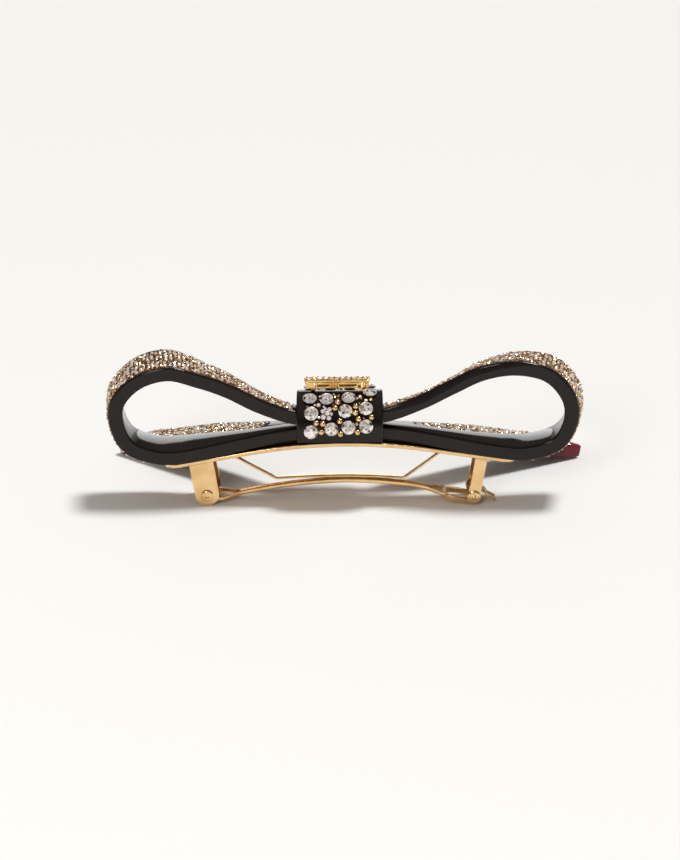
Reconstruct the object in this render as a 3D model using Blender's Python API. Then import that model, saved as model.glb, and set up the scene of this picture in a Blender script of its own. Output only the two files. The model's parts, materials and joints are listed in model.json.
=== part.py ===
"""Rhinestone bow hair clip on a French clip: one object per physical piece.

X runs along the bow, +Y towards the tails, +Z up.  The clip stands closed on its
own lever and on the tips of the two tails.  All lengths below are millimetres.
"""
import math

import bmesh
import bpy
from mathutils import Matrix, Vector

MM = 0.001

# ---- ribbon (glossy resin strip bent into a bow) ----
RIBBON_T = 2.9
RIBBON_EDGE = 0.35
RIBBON_KNOT_HALF = 2.4
RIBBON_END_HALF = 5.0
TAIL_T = 2.5
BOW_TILT = 0.0102        # the bow leans over by this angle, its +X side higher
TILT_PIVOT_Z = 14.8
FLARE = {-1: 0.019, 1: 0.035}    # how much further out the far edge of a loop reaches
FAR_LIFT = {-1: (0.9, 37.0, 9.0), 1: (-2.05, 23.0, 14.5)}    # height, middle, spread
LOOP_STATIONS = 60
TAIL_STATIONS = 24
PAVE_T = 0.3
PAVE_GAP = 0.12
TAIL_PAVE_GAP = 0.22     # wider, because a tail twists as it widens
PAVE_MARGIN = 0.6

# ---- French clip ----
PLATE_HALF_LENGTH = 35.0
PLATE_HALF_WIDTH = 3.65
PLATE_T = 0.8
PLATE_CROWN = 13.35      # height of the plate's top face in the middle
PLATE_SAG = 215.0        # top face falls by x*x / PLATE_SAG
PLATE_STRAIGHT_FROM = 18.0
PLATE_TILT = 0.02        # the catch end stands higher than the hinge end
TAB_CORNER = 2.8
TAB_HOLE_X = 31.9
TAB_HOLE_R = 0.8
GLUE_LINE = 0.15
SHEET_T = 0.6

HINGE_X, HINGE_Z = -26.6, 2.15
EAR_WIDTH = 4.8
EAR_TOP_X = -27.9
PIN_R = 0.6
PIN_HEAD_R = 1.17
BORE_GAP = 0.15

CATCH_X, CATCH_Z = 26.9, 1.85
LEG_TOP_X = 28.4
LEG_WIDTH = 2.3
PAD_R = 1.4
CATCH_R = 0.45
CATCH_HEAD_R = 1.34
HEAD_T = 0.3
HEAD_GAP = 0.1

LEVER_T = 0.45
LEVER_HALF = 0.85
KNUCKLE_HALF = 2.75
KNUCKLE_R = 1.25
RING_X0, RING_X1 = 20.6, 28.6
RING_HALF = 2.9
RING_WALL = 1.0

BAR_HALF = 0.6
BAR_T = 0.35
LATCH_T = 0.3

# ---- knot ----
KNOT_HALF_LENGTH = 8.6
KNOT_R = 6.5             # half-round saddle, straight below its axis
KNOT_AXIS_Y, KNOT_AXIS_Z = 1.6, 16.0
KNOT_BOTTOM = 13.8
STRAND_SPACE = (-2.75, 2.8, 20.0)    # front, back and top of the room for the loops
TAIL_SPACE = (7.45, 16.5)            # back and top of the room for the tails
CRYSTAL_R = 1.4
CRYSTAL_H = 0.85
BEAD_R = 0.6
SEAT_GAP = 0.06

# ---- ornament on the knot: a narrow bar on two feet, with windows and a tray on top ----
ORNAMENT_X0, ORNAMENT_X1 = -7.0, 6.0
ORNAMENT_Y0, ORNAMENT_Y1 = 0.5, 2.7
ORNAMENT_CORNER = 0.5
FOOT_Z = 22.56
GALLERY_Z0, GALLERY_Z1 = 23.4, 24.75
WINDOWS = ((-4.4, -2.0), (0.0, 3.4))
FEET = ((-5.7, -4.9), (3.7, 4.4))
TRAY_Z1 = 25.2
TRAY_RIM = 0.4
TRAY_FLOOR = 0.14


# ------------------------------------------------------------------ helpers
def clear_scene():
    for obj in list(bpy.data.objects):
        bpy.data.objects.remove(obj)


def material(name, colour, roughness, metallic):
    mat = bpy.data.materials.new(name)
    mat.use_nodes = True
    shader = mat.node_tree.nodes["Principled BSDF"]
    shader.inputs["Base Color"].default_value = (*colour, 1.0)
    shader.inputs["Roughness"].default_value = roughness
    shader.inputs["Metallic"].default_value = metallic
    mat.diffuse_color = (*colour, 1.0)
    return mat


def solid(name, verts, faces):
    """One closed mesh object from points in millimetres, faces turned outwards."""
    mesh = bpy.data.meshes.new(name)
    mesh.from_pydata([MM * Vector(v) for v in verts], [], faces)
    work = bmesh.new()
    work.from_mesh(mesh)
    bmesh.ops.recalc_face_normals(work, faces=work.faces)
    work.to_mesh(mesh)
    work.free()
    obj = bpy.data.objects.new(name, mesh)
    bpy.context.collection.objects.link(obj)
    return obj


def tube_faces(rings, count, closed):
    """Quads joining consecutive rings of count points, with end caps unless closed."""
    faces = []
    last = rings if closed else rings - 1
    for i in range(last):
        for j in range(count):
            a = i * count + j
            b = i * count + (j + 1) % count
            c = ((i + 1) % rings) * count + (j + 1) % count
            d = ((i + 1) % rings) * count + j
            faces.append((a, b, c, d))
    if not closed:
        faces.append(tuple(range(count)))
        faces.append(tuple((rings - 1) * count + j for j in range(count)))
    return faces


def strip(name, near, far, normals, low, high, chamfer=0.0):
    """Flat strip between two edge curves, from offset low to high along the normals."""
    verts = []
    for a, b, n in zip(near, far, normals):
        if chamfer:
            c = chamfer / (b - a).length
            ring = [(c, low), (1 - c, low), (1, low + chamfer), (1, high - chamfer),
                    (1 - c, high), (c, high), (0, high - chamfer), (0, low + chamfer)]
        else:
            ring = [(0, low), (1, low), (1, high), (0, high)]
        verts += [a.lerp(b, v) + n * offset for v, offset in ring]
    return solid(name, verts, tube_faces(len(near), len(verts) // len(near), False))


def prism(name, outline, axis, start, end):
    """A closed outline of 2-D points extruded along X, Y or Z."""
    def place(u, v, w):
        return {"X": (w, u, v), "Y": (u, w, v), "Z": (u, v, w)}[axis]
    verts = [place(u, v, start) for u, v in outline]
    verts += [place(u, v, end) for u, v in outline]
    return solid(name, verts, tube_faces(2, len(outline), False))


def arc(cx, cy, radius, start, end, steps):
    """Points on a circle, angles in degrees, both ends included."""
    points = []
    for i in range(steps + 1):
        a = math.radians(start + (end - start) * i / steps)
        points.append((cx + radius * math.cos(a), cy + radius * math.sin(a)))
    return points


def rod(name, x, z, sections, sides=20):
    """Turned piece along Y: sections are (y, radius) from front to back."""
    verts = []
    for y, radius in sections:
        verts += [(px, y, pz) for px, pz in arc(x, z, radius, 0, 360, sides)[:-1]]
    return solid(name, verts, tube_faces(len(sections), sides, False))


def boolean(target, tool, operation):
    """Union with, or cut by, a tool object that the build leaves out."""
    tool.hide_render = True
    tool.display_type = "WIRE"
    mod = target.modifiers.new(tool.name, "BOOLEAN")
    mod.operation = operation
    mod.object = tool


def spline(points, count):
    """Smooth curve through the points (Catmull-Rom), evenly spaced along its length."""
    pts = [Vector(p) for p in points]
    pts = [2 * pts[0] - pts[1]] + pts + [2 * pts[-1] - pts[-2]]
    fine = []
    for i in range(1, len(pts) - 2):
        p0, p1, p2, p3 = pts[i - 1:i + 3]
        for k in range(20):
            t = k / 20
            fine.append(0.5 * (2 * p1 + (p2 - p0) * t + (2 * p0 - 5 * p1 + 4 * p2 - p3) * t * t
                               + (3 * p1 - p0 - 3 * p2 + p3) * t ** 3))
    fine.append(pts[-2])
    lengths = [0.0]
    for a, b in zip(fine, fine[1:]):
        lengths.append(lengths[-1] + (b - a).length)
    even = []
    k = 0
    for i in range(count):
        s = lengths[-1] * i / (count - 1)
        while k < len(fine) - 2 and lengths[k + 1] < s:
            k += 1
        part = (s - lengths[k]) / (lengths[k + 1] - lengths[k])
        even.append(fine[k].lerp(fine[k + 1], min(part, 1.0)))
    return even


def plate_top(x):
    """Height of the base plate's top face: an arch with straight end tabs."""
    inner = min(abs(x), PLATE_STRAIGHT_FROM)
    slope = 2 * PLATE_STRAIGHT_FROM / PLATE_SAG
    drop = inner * inner / PLATE_SAG + slope * (abs(x) - inner)
    return PLATE_CROWN - drop + PLATE_TILT * x


# ------------------------------------------------------------------ bow loops
def loop_outline(side):
    """Centre line of a loop's near edge as (x, z), upper strand first."""
    if side < 0:
        upper = [(0.3, 18.2), (4.5, 18.1), (9.7, 18.4), (16.1, 20.95), (22.3, 24.5), (28.2, 26.95)]
        turn = [(33.9, 28.45), (40.0, 26.65), (44.0, 22.3), (44.0, 17.2), (41.6, 13.0),
                (36.5, 11.05), (32.0, 10.95)]
    else:
        upper = [(0.3, 18.2), (4.5, 18.2), (9.7, 18.8), (16.5, 21.7), (22.4, 25.0), (28.3, 28.0)]
        turn = [(34.8, 29.05), (41.3, 27.4), (45.3, 22.6), (45.6, 17.5), (42.9, 12.95),
                (37.0, 11.15), (32.0, 11.5)]
    lower = []
    for x in (27.0, 20.0, 13.0, 7.0, 0.3):
        seat = plate_top(side * x) - BOW_TILT * side * x
        lower.append((x, seat + GLUE_LINE + RIBBON_T / 2))
    return spline([(side * x, z) for x, z in upper + turn + lower], LOOP_STATIONS)


def loop_half_width(x):
    """Half width of the ribbon: pinched in the knot, full at the end of the loop."""
    out = min(max((abs(x) - KNOT_HALF_LENGTH) / 26.0, 0.0), 1.0)
    smooth = out * out * (3 - 2 * out)
    return RIBBON_KNOT_HALF + (RIBBON_END_HALF - RIBBON_KNOT_HALF) * smooth


def far_lift(side, x, z):
    """How much higher the far edge lies than the near edge, on the upper strand only."""
    height, middle, spread = FAR_LIFT[side]
    upper = min(max((z - 14.0) / 8.0, 0.0), 1.0)
    return height * upper * math.exp(-((abs(x) - middle) / spread) ** 2)


def edge_normals(side, near, far):
    """Outward normals of the surface between two edges that run away from the knot."""
    normals = []
    for i in range(len(near)):
        before, after = max(i - 1, 0), min(i + 1, len(near) - 1)
        run = (near[after] - near[before]) + (far[after] - far[before])
        normals.append(side * run.cross(far[i] - near[i]).normalized())
    return normals


def loop_edges(side):
    """Near edge, far edge and outward normals of a loop's middle surface."""
    near, far = [], []
    for p in loop_outline(side):
        half = loop_half_width(p.x)
        near.append(Vector((p.x, -half, p.y)))
        far.append(Vector((p.x * (1 + FLARE[side]), half, p.y + far_lift(side, p.x, p.y))))
    return near, far, edge_normals(side, near, far)


def inset_edges(near, far, margin):
    """The same edges moved inwards across the strip."""
    slim_near, slim_far = [], []
    for a, b in zip(near, far):
        step = (b - a).normalized() * margin
        slim_near.append(a + step)
        slim_far.append(b - step)
    return slim_near, slim_far


def make_loop(side, word):
    near, far, normals = loop_edges(side)
    half = RIBBON_T / 2
    ribbon = strip("bow_loop_" + word, near, far, normals, -half, half, RIBBON_EDGE)
    covered = [i for i, p in enumerate(near)
               if abs(p.x) > KNOT_HALF_LENGTH + 0.6 and (p.z > 16.0 or abs(p.x) > 37.5)]
    first, last = covered[0], covered[-1] + 1
    slim_near, slim_far = inset_edges(near[first:last], far[first:last], PAVE_MARGIN)
    low = half + PAVE_GAP
    pave = strip("pave_loop_" + word, slim_near, slim_far, normals[first:last], low, low + PAVE_T)
    return ribbon, pave


# ------------------------------------------------------------------ tails
def tail_edges(side):
    """Edges of a tail from inside the knot to its slanted tip on the floor."""
    reach = 1.0 if side > 0 else 0.902
    depth = 1.05 if side > 0 else 1.16
    near = [(3.5, 4.1, 14.5), (8.6, 4.15, 13.3), (14.0, 4.4, 11.9), (20.0, 6.0, 10.2),
            (30.0, 11.2, 7.3), (41.0, 17.3, 3.7), (51.0, 23.2, 1.3)]
    far = [(3.5, 7.0, 14.5), (8.6, 7.15, 13.3), (12.6, 9.6, 12.2), (17.5, 12.6, 10.8),
           (26.0, 17.6, 8.4), (35.6, 23.2, 5.0), (43.0, 27.6, 2.3)]
    edges = []
    for edge in (near, far):
        edge = [(side * (x if x < 9 else 9 + (x - 9) * reach), y if y < 8 else 8 + (y - 8) * depth, z)
                for x, y, z in edge]
        edges.append(spline(edge, TAIL_STATIONS))
    near, far = edges
    return near, far, edge_normals(side, near, far)


def make_tail(side, word):
    near, far, normals = tail_edges(side)
    half = TAIL_T / 2
    ribbon = strip("tail_" + word, near, far, normals, -half, half, RIBBON_EDGE)
    span = slice(6, -1)
    slim_near, slim_far = inset_edges(near[span], far[span], PAVE_MARGIN)
    low = half + TAIL_PAVE_GAP
    pave = strip("pave_tail_" + word, slim_near, slim_far, normals[span], low, low + PAVE_T)
    return ribbon, pave


# ------------------------------------------------------------------ knot
def knot_length():
    """Length of the knot's skin from its front foot over the top to its back foot."""
    return 2 * (KNOT_AXIS_Z - KNOT_BOTTOM) + math.pi * KNOT_R


def knot_surface(s):
    """Point (y, z) and outward normal on the knot, s millimetres up from its front foot."""
    upright = KNOT_AXIS_Z - KNOT_BOTTOM
    if s > knot_length() / 2:
        point, normal = knot_surface(knot_length() - s)
        return (2 * KNOT_AXIS_Y - point[0], point[1]), (-normal[0], normal[1])
    a = max(s - upright, 0.0) / KNOT_R
    normal = (-math.cos(a), math.sin(a))
    low = min(s - upright, 0.0)
    point = (KNOT_AXIS_Y + KNOT_R * normal[0], KNOT_AXIS_Z + KNOT_R * normal[1] + low)
    return point, normal


def make_knot():
    """Half-round saddle over the strands and tails, open underneath."""
    front, back = KNOT_AXIS_Y - KNOT_R, KNOT_AXIS_Y + KNOT_R
    strand_front, strand_back, strand_top = STRAND_SPACE
    tail_back, tail_top = TAIL_SPACE
    outline = [(front, KNOT_BOTTOM)]
    outline += arc(KNOT_AXIS_Y, KNOT_AXIS_Z, KNOT_R, 180, 0, 22)
    outline += [(back, KNOT_BOTTOM), (tail_back, KNOT_BOTTOM), (tail_back, tail_top),
                (strand_back, tail_top), (strand_back, strand_top),
                (strand_front, strand_top), (strand_front, KNOT_BOTTOM)]
    return prism("knot_band", outline, "X", -KNOT_HALF_LENGTH, KNOT_HALF_LENGTH)


def on_knot(x, s, height):
    """World point above the knot's skin, with the skin's outward normal."""
    (y, z), (ny, nz) = knot_surface(s)
    normal = Vector((0, ny, nz))
    return Vector((x, y, z)) + normal * height, normal


def make_crystal(name, x, s):
    """Round stone: straight seat, girdle, sloped crown and flat table."""
    base, normal = on_knot(x, s, SEAT_GAP)
    across = Vector((1, 0, 0))
    up = normal.cross(across)
    verts = []
    for radius, height in ((0.86, 0.0), (1.0, 0.35), (0.55, 1.0)):
        for u, v in arc(0, 0, radius * CRYSTAL_R, 0, 360, 12)[:-1]:
            verts.append(base + across * u + up * v + normal * (height * CRYSTAL_H))
    return solid(name, verts, tube_faces(3, 12, False))


def make_bead(name, x, s):
    """Small gold ball resting on the knot's skin."""
    centre, normal = on_knot(x, s, SEAT_GAP + BEAD_R)
    work = bmesh.new()
    bmesh.ops.create_icosphere(work, subdivisions=2, radius=BEAD_R * MM)
    bmesh.ops.translate(work, verts=work.verts, vec=centre * MM)
    mesh = bpy.data.meshes.new(name)
    work.to_mesh(mesh)
    work.free()
    mesh.shade_smooth()
    obj = bpy.data.objects.new(name, mesh)
    bpy.context.collection.objects.link(obj)
    return obj


CRYSTAL_ROWS = (
    ("front_low", ((-5.75, 2.5), (-1.7, 3.0), (1.7, 3.3), (5.2, 3.5))),
    ("front_mid", ((-5.65, 6.0), (-2.6, 5.9), (1.1, 6.4), (5.2, 6.9))),
    ("front_top", ((-5.95, 9.3), (-2.6, 9.1), (1.8, 9.4), (6.0, 10.9))),
    ("back_top", ((-5.9, -9.3), (-1.9, -9.2), (2.1, -9.4), (5.9, -9.3))),
    ("back_mid", ((-5.5, -6.0), (-1.4, -6.2), (2.4, -6.1), (5.6, -6.3))),
    ("back_low", ((-5.8, -2.7), (-2.0, -3.0), (1.8, -2.8), (5.5, -3.0))),
)
BEAD_SPOTS = ((-4.7, 4.2), (-3.4, 4.05), (-3.7, 2.5), (0.0, 4.5), (0.1, 2.05), (3.1, 6.0),
              (3.15, 7.3), (3.7, 4.9), (6.3, 5.2), (3.5, 2.4), (-0.9, 7.0), (-0.4, 8.2))


def make_knot_stones():
    crystals, beads = [], []
    for word, places in CRYSTAL_ROWS:
        for number, (x, s) in enumerate(places, 1):
            name = "knot_crystal_" + word + "_" + str(number)
            crystals.append(make_crystal(name, x, s % knot_length()))
    for number, (x, s) in enumerate(BEAD_SPOTS, 1):
        beads.append(make_bead("knot_bead_" + str(number), x, s))
    return crystals, beads


# ------------------------------------------------------------------ ornament
def rounded_rectangle(inset, corner):
    x0, x1 = ORNAMENT_X0 + inset, ORNAMENT_X1 - inset
    y0, y1 = ORNAMENT_Y0 + inset, ORNAMENT_Y1 - inset
    outline = arc(x1 - corner, y0 + corner, corner, -90, 0, 5)
    outline += arc(x1 - corner, y1 - corner, corner, 0, 90, 5)
    outline += arc(x0 + corner, y1 - corner, corner, 90, 180, 5)
    outline += arc(x0 + corner, y0 + corner, corner, 180, 270, 5)
    return outline


def make_ornament():
    """Bar with two windows on two feet, a dished tray on it and a bed of small stones."""
    gallery = prism("ornament_gallery", rounded_rectangle(0.1, ORNAMENT_CORNER - 0.1), "Z",
                    GALLERY_Z0, GALLERY_Z1)
    middle = (ORNAMENT_Y0 + ORNAMENT_Y1) / 2
    for number, (x0, x1) in enumerate(FEET, 1):
        foot = [(x0, middle - 0.7), (x1, middle - 0.7), (x1, middle + 0.7), (x0, middle + 0.7)]
        boolean(gallery, prism("add_foot_" + str(number), foot, "Z", FOOT_Z, GALLERY_Z0 + 0.1),
                "UNION")
    for number, (x0, x1) in enumerate(WINDOWS, 1):
        hole = [(x0, GALLERY_Z0 + 0.2), (x1, GALLERY_Z0 + 0.2),
                (x1, GALLERY_Z1 - 0.25), (x0, GALLERY_Z1 - 0.25)]
        window = prism("cut_window_" + str(number), hole, "Y", ORNAMENT_Y0 - 1, ORNAMENT_Y1 + 1)
        boolean(gallery, window, "DIFFERENCE")
    floor_z = GALLERY_Z1 + SEAT_GAP
    tray = prism("ornament_tray", rounded_rectangle(0, ORNAMENT_CORNER), "Z", floor_z, TRAY_Z1)
    pocket = prism("cut_pocket", rounded_rectangle(TRAY_RIM, 0.25), "Z",
                   floor_z + TRAY_FLOOR, TRAY_Z1 + 1)
    boolean(tray, pocket, "DIFFERENCE")
    bed = prism("ornament_pave", rounded_rectangle(TRAY_RIM + 0.1, 0.2), "Z",
                floor_z + TRAY_FLOOR + SEAT_GAP, TRAY_Z1 + 0.1)
    return gallery, tray, bed


# ------------------------------------------------------------------ French clip
def make_base_plate():
    """Arched plate with end tabs, two hinge ears and two catch legs bent down from it."""
    stations = 37
    near, far, normals = [], [], []
    for i in range(stations):
        x = PLATE_HALF_LENGTH * math.sin(math.pi * (i / (stations - 1) - 0.5))
        over = max(abs(x) - (PLATE_HALF_LENGTH - TAB_CORNER), 0.0)
        half = PLATE_HALF_WIDTH - TAB_CORNER + math.sqrt(TAB_CORNER ** 2 - over ** 2)
        near.append(Vector((x, -half, plate_top(x))))
        far.append(Vector((x, half, plate_top(x))))
        normals.append(Vector((0, 0, 1)))
    plate = strip("base_plate", near, far, normals, -PLATE_T, 0.0)

    inner = PLATE_HALF_WIDTH - SHEET_T
    lean = (HINGE_X - EAR_TOP_X) / (plate_top(EAR_TOP_X) - HINGE_Z)
    ear = [(EAR_TOP_X - EAR_WIDTH / 2, plate_top(EAR_TOP_X - EAR_WIDTH / 2) - 0.15)]
    turn = math.degrees(math.atan(lean))
    ear += arc(HINGE_X, HINGE_Z, HINGE_Z, 180 + turn, 360 + turn, 12)
    ear += [(EAR_TOP_X + EAR_WIDTH / 2, plate_top(EAR_TOP_X + EAR_WIDTH / 2) - 0.15)]
    leg_z = plate_top(LEG_TOP_X)
    leg = [(LEG_TOP_X - LEG_WIDTH / 2, leg_z - 0.05), (CATCH_X - LEG_WIDTH / 2, CATCH_Z),
           (CATCH_X + LEG_WIDTH / 2, CATCH_Z), (LEG_TOP_X + LEG_WIDTH / 2, leg_z - 0.4)]
    pad = arc(CATCH_X, CATCH_Z, PAD_R, 0, 360, 20)[:-1]
    for word, y0, y1 in (("front", -PLATE_HALF_WIDTH, -inner), ("back", inner, PLATE_HALF_WIDTH)):
        boolean(plate, prism("add_ear_" + word, ear, "Y", y0, y1), "UNION")
        boolean(plate, prism("add_leg_" + word, leg, "Y", y0, y1), "UNION")
        boolean(plate, prism("add_pad_" + word, pad, "Y", y0, y1), "UNION")

    reach = PLATE_HALF_WIDTH + 1
    bores = [(HINGE_X, HINGE_Z, PIN_R + BORE_GAP), (CATCH_X, CATCH_Z, CATCH_R + BORE_GAP)]
    for number, (x, z, radius) in enumerate(bores, 1):
        drill = rod("cut_bore_" + str(number), x, z, ((-reach, radius), (reach, radius)))
        boolean(plate, drill, "DIFFERENCE")
    for word, x in (("left", -TAB_HOLE_X), ("right", TAB_HOLE_X)):
        circle = arc(x, 0, TAB_HOLE_R, 0, 360, 16)[:-1]
        hole = prism("cut_tab_hole_" + word, circle, "Z", 0, PLATE_CROWN)
        boolean(plate, hole, "DIFFERENCE")
    return plate


def rivet(name, x, z, shank, head):
    """Rivet through both bent-down sides, with a flat head outside each."""
    inside = PLATE_HALF_WIDTH + HEAD_GAP
    outside = inside + HEAD_T
    return rod(name, x, z, ((-outside, head * 0.8), (-outside + 0.1, head), (-inside, head),
                            (-inside, shank), (inside, shank), (inside, head),
                            (outside - 0.1, head), (outside, head * 0.8)))


def make_lever():
    """Sprung lever: knuckle on the pin, narrow arched arm, open ring at the free end."""
    line = spline([(-26.6, 0.75), (-24.2, 0.62), (-22.0, 0.75), (-20.0, 1.14), (-16.0, 1.98),
                   (-12.0, 2.65), (-8.0, 3.2), (-3.0, 3.65), (2.0, 3.85), (7.0, 3.65),
                   (12.0, 3.2), (15.0, 2.8), (19.0, 1.88), (21.2, 1.3)], 34)
    near, far, normals = [], [], []
    for x, z in line:
        hinge_end = min(max((-20.5 - x) / 3.0, 0.0), 1.0)
        ring_end = min(max((x - 17.5) / 3.0, 0.0), 1.0)
        half = LEVER_HALF + (KNUCKLE_HALF - LEVER_HALF) * hinge_end + 1.3 * ring_end
        near.append(Vector((x, -half, z)))
        far.append(Vector((x, half, z)))
        normals.append(Vector((0, 0, 1)))
    lever = strip("lever_arm", near, far, normals, 0.0, LEVER_T)

    knuckle = rod("add_knuckle", HINGE_X, HINGE_Z,
                  ((-KNUCKLE_HALF, KNUCKLE_R), (KNUCKLE_HALF, KNUCKLE_R)))
    boolean(lever, knuckle, "UNION")
    boolean(lever, make_lever_ring(), "UNION")
    reach = KNUCKLE_HALF + 1
    drill = rod("cut_knuckle", HINGE_X, HINGE_Z,
                ((-reach, PIN_R + BORE_GAP), (reach, PIN_R + BORE_GAP)))
    boolean(lever, drill, "DIFFERENCE")
    return lever


def make_lever_ring():
    """Closed ring lying on the floor at its far end, lower there than at the arm."""
    middle = (RING_X0 + RING_X1) / 2
    half_length = (RING_X1 - RING_X0) / 2
    count = 28
    verts = []
    for i in range(count):
        a = 2 * math.pi * i / count
        c, s = math.cos(a), math.sin(a)
        round_x = math.copysign(abs(c) ** 0.62, c)
        round_y = math.copysign(abs(s) ** 0.62, s)
        for wall in (0.0, RING_WALL):
            x = middle + (half_length - wall) * round_x
            y = (RING_HALF - wall) * round_y
            bottom = max(0.0, (27.0 - x) * 0.13)
            height = 1.0 + 0.7 * (RING_X1 - x) / (RING_X1 - RING_X0)
            ends = (bottom, bottom + height)
            verts += [(x, y, z) for z in (ends if wall == 0.0 else reversed(ends))]
    return solid("add_ring", verts, tube_faces(count, 4, True))


def make_tension_bar():
    """Thin spring strip bowed down from the plate to just above the lever."""
    points = [(-23.4, 9.38), (-21.9, 9.66), (-12.9, 4.6), (-8.0, 4.88), (-3.0, 5.08), (2.0, 5.15),
              (7.0, 5.02), (12.9, 4.68), (20.65, 10.6), (22.1, 10.4)]
    line = [Vector((x, 0, z)) for x, z in points]
    half = Vector((0, BAR_HALF, 0))
    normals = []
    for i in range(len(line)):
        run = line[min(i + 1, len(line) - 1)] - line[max(i - 1, 0)]
        normals.append(Vector((-run.z, 0, run.x)).normalized())
    return strip("tension_bar", [p - half for p in line], [p + half for p in line], normals,
                 -BAR_T / 2, BAR_T / 2)


def make_latch():
    """Spring tongue on the catch rivet: over the ring's end bar, then two prongs down."""
    sleeve_half, tongue_half = 1.1, 1.7
    outer, bore = 0.82, CATCH_R + BORE_GAP
    latch = rod("catch_latch", CATCH_X, CATCH_Z, ((-sleeve_half, outer), (sleeve_half, outer)))
    line = spline([(27.0, 2.5), (28.3, 2.35), (29.2, 1.9), (29.8, 1.1), (31.2, 0.35)], 10)
    near, far, normals = [], [], []
    for i, (x, z) in enumerate(line):
        run = line[min(i + 1, 9)] - line[max(i - 1, 0)]
        near.append(Vector((x, -tongue_half, z)))
        far.append(Vector((x, tongue_half, z)))
        normals.append(Vector((-run.y, 0, run.x)).normalized())
    boolean(latch, strip("add_tongue", near, far, normals, -LATCH_T / 2, LATCH_T / 2), "UNION")
    fork = prism("cut_fork", ((29.0, -0.6), (32.0, -0.6), (32.0, 0.6), (29.0, 0.6)), "Z", -1, 4)
    boolean(latch, fork, "DIFFERENCE")
    drill = rod("cut_sleeve", CATCH_X, CATCH_Z, ((-sleeve_half - 1, bore), (sleeve_half + 1, bore)))
    boolean(latch, drill, "DIFFERENCE")
    return latch


# ------------------------------------------------------------------ assembly
def make_empty(name, place, parent=None):
    """Empty at a design point; a child empty is placed relative to its parent."""
    empty = bpy.data.objects.new(name, None)
    bpy.context.collection.objects.link(empty)
    empty.empty_display_size = 0.004
    empty["place"] = place
    empty.location = MM * Vector(place)
    if parent:
        empty.parent = parent
        empty.location = MM * (Vector(place) - Vector(parent["place"]))
    return empty


def attach(objects, empty, mat, tilted=False):
    """Hang pieces on an empty, each with the hidden tools that its modifiers use."""
    pivot = Matrix.Translation((0, 0, TILT_PIVOT_Z * MM))
    tilt = pivot @ Matrix.Rotation(-BOW_TILT, 4, "Y") @ pivot.inverted()
    for obj in objects:
        obj.data.materials.append(mat)
        for member in [obj] + [mod.object for mod in obj.modifiers]:
            if tilted:
                member.data.transform(tilt)
            member.parent = empty
            member.location = -MM * Vector(empty["place"])


def centre_on_floor(root):
    """Move the whole clip so that the middle of its box's underside is the origin."""
    bpy.context.view_layer.update()
    finished = bpy.context.evaluated_depsgraph_get()
    low, high = Vector((9, 9, 9)), Vector((-9, -9, -9))
    for obj in bpy.data.objects:
        if obj.type != "MESH" or obj.hide_render:
            continue
        for vertex in obj.evaluated_get(finished).data.vertices:
            p = obj.matrix_world @ vertex.co
            low = Vector(map(min, low, p))
            high = Vector(map(max, high, p))
    root.location = (-(low.x + high.x) / 2, -(low.y + high.y) / 2, -low.z)


def build():
    clear_scene()
    resin = material("resin", (0.010, 0.004, 0.004), 0.12, 0.0)
    gold = material("gold_metal", (0.80, 0.55, 0.28), 0.22, 1.0)
    crystal = material("crystal", (0.93, 0.90, 0.86), 0.05, 0.0)
    pave_stones = material("pave_stones", (0.78, 0.62, 0.50), 0.3, 0.4)

    root = make_empty("clip_frame", (0, 0, 0))
    hinge = make_empty("hinge_axis", (HINGE_X, 0, HINGE_Z), root)
    catch = make_empty("catch_axis", (CATCH_X, 0, CATCH_Z), hinge)
    slide = make_empty("bar_slide", (0, 0, 5.15), hinge)

    attach([make_lever()], root, gold)
    attach([make_latch()], catch, gold)
    attach([make_tension_bar()], slide, gold)
    pin = rivet("hinge_pin", HINGE_X, HINGE_Z, PIN_R, PIN_HEAD_R)
    catch_pin = rivet("catch_rivet", CATCH_X, CATCH_Z, CATCH_R, CATCH_HEAD_R)
    attach([make_base_plate(), pin, catch_pin], hinge, gold)
    for side, word in ((-1, "left"), (1, "right")):
        for pieces, tilted in ((make_loop(side, word), True), (make_tail(side, word), False)):
            attach(pieces[:1], hinge, resin, tilted)
            attach(pieces[1:], hinge, pave_stones, tilted)
    attach([make_knot()], hinge, resin, True)
    crystals, beads = make_knot_stones()
    attach(crystals, hinge, crystal, True)
    gallery, tray, bed = make_ornament()
    attach(beads + [gallery, tray], hinge, gold, True)
    attach([bed], hinge, pave_stones, True)
    centre_on_floor(root)


build()
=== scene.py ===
"""Looks of the rhinestone bow hair clip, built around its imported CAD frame.

Lengths are millimetres in the clip's own design space: X along the bow, +Y towards
the tails, +Z up, X = Y = 0 in the middle of the base plate, Z = 0 on the floor.
"""

import json
import math
import random

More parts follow.
